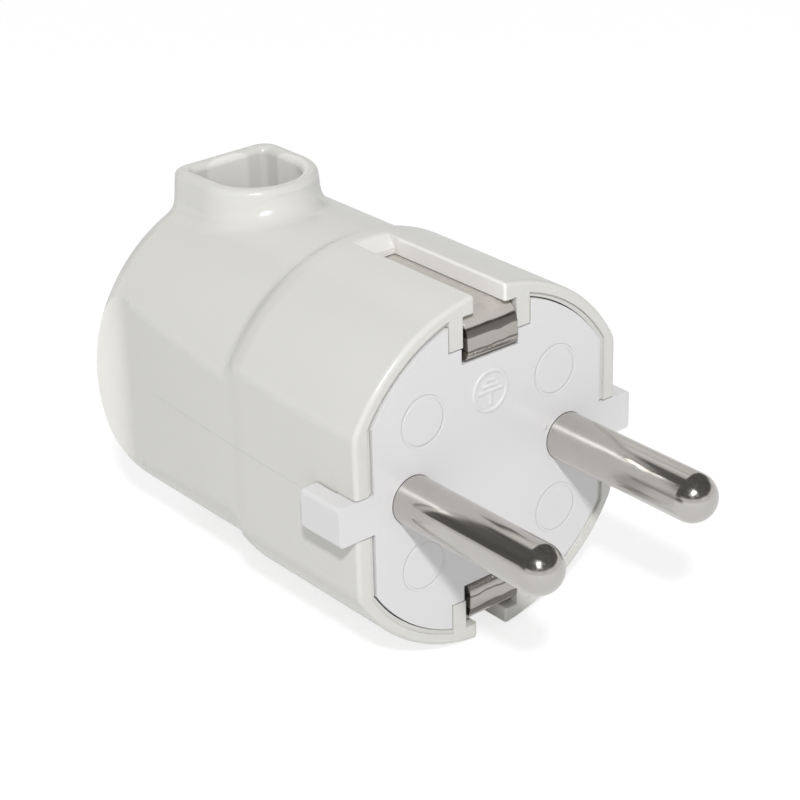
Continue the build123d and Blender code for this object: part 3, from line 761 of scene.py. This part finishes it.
@dataclass
class Studio:
    """Camera, lamps, surroundings and floor."""

    eye: Triple = (-0.124687, -0.139338, 0.098491)
    right: Triple = (0.76683, -0.64145, -0.02261)
    up: Triple = (0.29753, 0.32405, 0.89804)
    back: Triple = (-0.56872, -0.69538, 0.43934)
    lens: float = 102.1
    sensor: float = 36.0
    clip: Span = (0.01, 20.0)
    key_way: Triple = (-0.46, -0.57, 0.68)
    key_distance: float = 0.6
    key_size: float = 0.05
    key_level: float = 0.70
    sky_level: float = 0.495
    mirrored_level: float = 0.74
    floor_half: float = 2.0
    floor_fibre: float = 1.2 * MM
    floor_fibre_range: Span = (0.3, 0.7)
    floor_pale: Colour = (0.80, 0.80, 0.80)
    floor_dull: Colour = (0.78, 0.78, 0.78)
    floor_glow: float = 0.77
    floor_shadowed: float = 0.3
    floor_far: Span = (0.12, 0.7)
    floor_rise: float = 1.15
    flag_radius: float = 0.9
    flag_low: float = 8.0
    flag_level: float = 0.115
    flag_rise: Span = (0.24, 0.36)
    flag_front: Span = (0.0, 0.3)
    flag_steps: tuple[int, int] = (24, 64)
    flag_colour: Colour = (1.0, 0.98, 0.95)
    wall_x: Span = (0.04, 0.14)
    wall_y: Span = (0.50, 0.57)
    patch_size: float = 0.25
    patch_range: Span = (0.35, 0.7)
    patch_levels: Span = (0.85, 1.2)

    def camera(self) -> None:
        """Camera at the photograph's place."""
        data = bpy.data.cameras.new("camera")
        data.lens, data.sensor_width = self.lens, self.sensor
        data.clip_start, data.clip_end = self.clip
        camera = bpy.data.objects.new("camera", data)
        turn = Matrix((self.right, self.up, self.back)).transposed().to_4x4()
        camera.matrix_world = Matrix.Translation(self.eye) @ turn
        bpy.context.scene.collection.objects.link(camera)
        bpy.context.scene.camera = camera

    def key(self) -> None:
        """Small bright lamp above the camera. Its power gives key_level on a surface that faces it."""
        data = bpy.data.lights.new("key", "AREA")
        data.shape, data.size = "DISK", self.key_size
        data.energy = self.key_level * math.pi**2 * self.key_distance**2
        lamp = bpy.data.objects.new("key", data)
        way = Vector(self.key_way).normalized()
        lamp.location = way * self.key_distance
        lamp.rotation_mode = "QUATERNION"
        lamp.rotation_quaternion = way.to_track_quat("Z", "Y")
        bpy.context.scene.collection.objects.link(lamp)

    def seen_level(self, tree: bpy.types.NodeTree, unseen: float, white: float) -> Socket:
        """Brightness of the surroundings by the kind of ray.

        Args:
            tree: Node tree to add to.
            unseen: Value for rays that only carry light.
            white: Value for camera rays; glossy and transmission rays get mirrored_level of it.

        Returns:
            The value.
        """
        path = tree.nodes.new("ShaderNodeLightPath")
        mirrored = tree.nodes.new("ShaderNodeMath")
        mirrored.operation = "MAXIMUM"
        tree.links.new(path.outputs["Is Glossy Ray"], mirrored.inputs[0])
        tree.links.new(path.outputs["Is Transmission Ray"], mirrored.inputs[1])
        reflected, seen = (tree.nodes.new("ShaderNodeMapRange") for _ in range(2))
        tree.links.new(mirrored.outputs["Value"], reflected.inputs["Value"])
        reflected.inputs["To Min"].default_value = unseen
        reflected.inputs["To Max"].default_value = white * self.mirrored_level
        tree.links.new(path.outputs["Is Camera Ray"], seen.inputs["Value"])
        tree.links.new(reflected.outputs["Result"], seen.inputs["To Min"])
        seen.inputs["To Max"].default_value = white
        return seen.outputs["Result"]

    def sky(self) -> None:
        """Even pale surroundings that look white and light the plug at sky_level."""
        world = bpy.data.worlds.new("studio")
        world.use_nodes = True
        bpy.context.scene.world = world
        tree = world.node_tree
        background = tree.nodes["Background"]
        background.inputs["Color"].default_value = (1.0, 1.0, 1.0, 1.0)
        level = self.seen_level(tree, self.sky_level, 1.0)
        tree.links.new(level, background.inputs["Strength"])

    def floor(self, height: float) -> None:
        """Pale floor that looks white and keeps the plug's soft shadow.

        Args:
            height: Z of the floor.
        """
        g = Graph("floor_paper")
        fibre = g.fitted(g.noise(self.floor_fibre, 4), *self.floor_fibre_range, 0.0, 1.0)
        paper = g.add("BsdfDiffuse")
        shine = self.seen_level(g.tree, 0.0, self.floor_glow)
        seen = g.fitted(shine, 0.0, self.floor_glow * self.mirrored_level, 0.0, 1.0)
        pale = g.mixed(fibre, self.floor_pale, self.floor_dull)
        g.put(paper, Color=g.mixed(seen, pale, (self.floor_shadowed,) * 3))
        glow = g.add("Emission")
        x, y, _ = g.axes()
        far = g.fitted(g.away((x, y), (0.0, 0.0)), *self.floor_far, 1.0, self.floor_rise)
        g.put(glow, Strength=g.product(shine, far))
        both = g.add("AddShader")
        g.tree.links.new(paper.outputs[0], both.inputs[0])
        g.tree.links.new(glow.outputs[0], both.inputs[1])
        half = self.floor_half
        mesh = bpy.data.meshes.new("floor")
        corners = [(-half, -half, height), (half, -half, height), (half, half, height), (-half, half, height)]
        mesh.from_pydata(corners, [], [(0, 1, 2, 3)])
        mesh.materials.append(g.finish(both))
        floor = bpy.data.objects.new("floor", mesh)
        bpy.context.scene.collection.objects.link(floor)
        floor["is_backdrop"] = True

    def unseen(self, name: str, points: np.ndarray, faces: np.ndarray, cloth: bpy.types.Material) -> None:
        """Makes a piece of the set that only reflections see."""
        mesh = bpy.data.meshes.new(name)
        mesh.from_pydata(points.reshape(-1, 3).tolist(), [], faces.tolist())
        mesh.materials.append(cloth)
        piece = bpy.data.objects.new(name, mesh)
        piece.visible_camera = False
        piece.visible_diffuse = False
        piece.visible_shadow = False
        piece.visible_transmission = False
        bpy.context.scene.collection.objects.link(piece)
        piece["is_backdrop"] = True

    def flag(self) -> None:
        """Dome that only reflections see: the dim room round a lit table, with a pale wall to the right.

        It is part of a sphere from flag_low degrees above the horizon to the top. In front of the plug
        the dark starts higher, at flag_rise; the wall lies past wall_x and wall_y. All three are shares
        of the radius.
        """
        rows, columns = self.flag_steps
        rise = np.radians(np.linspace(self.flag_low, 90.0, rows))
        turn = np.linspace(0, 2 * math.pi, columns, endpoint=False)
        rise, turn = np.meshgrid(rise, turn, indexing="ij")
        points = self.flag_radius * np.stack(
            [np.cos(rise) * np.cos(turn), np.cos(rise) * np.sin(turn), np.sin(rise)], axis=-1
        )
        g = Graph("flag_cloth")
        x, y, z = (g.maths("DIVIDE", axis, self.flag_radius) for axis in g.axes())
        wall = g.product(g.fitted(x, *self.wall_x, 0.0, 1.0), g.fitted(y, *self.wall_y, 0.0, 1.0))
        front = g.product(g.fitted(z, *self.flag_rise, 1.0, 0.0), g.fitted(y, *self.flag_front, 1.0, 0.0))
        pale = g.fitted(g.maths("MAXIMUM", wall, front), 0.0, 1.0, self.flag_level, self.mirrored_level)
        patches = g.fitted(g.noise(self.patch_size, 3), *self.patch_range, *self.patch_levels)
        dim = g.add("Emission")
        g.put(dim, Color=(*self.flag_colour, 1.0), Strength=g.product(patches, pale))
        self.unseen("flag", points, grid_faces(rows, columns, False, True), g.finish(dim))

    def build(self, floor_height: float) -> None:
        """Makes the whole set on a floor at the given height."""
        self.camera()
        self.key()
        self.sky()
        self.floor(floor_height)
        self.flag()
        bpy.context.scene.view_settings.view_transform = "Standard"


@dataclass
class CarriedOver:
    """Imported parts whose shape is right, which only get their finish."""

    frame: dict
    finishes: Finishes

    def build(self) -> None:
        """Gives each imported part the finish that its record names."""
        for part in self.frame["record"]["subparts"]:
            node = self.frame["nodes"][part["node"]]
            slot = Slot(part["material_slot"])
            node.data.materials.clear()
            node.data.materials.append(self.finishes.by_slot[slot])
            LOG.info("%s: %s", part["node"], slot.value)


def main() -> None:
    """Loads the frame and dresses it."""
    logging.basicConfig(level=logging.INFO, format="%(name)s %(message)s")
    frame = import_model()
    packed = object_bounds()
    Studio().build(packed[0].z)
    finishes = Finishes()
    CarriedOver(frame, finishes).build()
    FaceMarks(finishes).earth_sign()


if __name__ == "__main__":
    main()
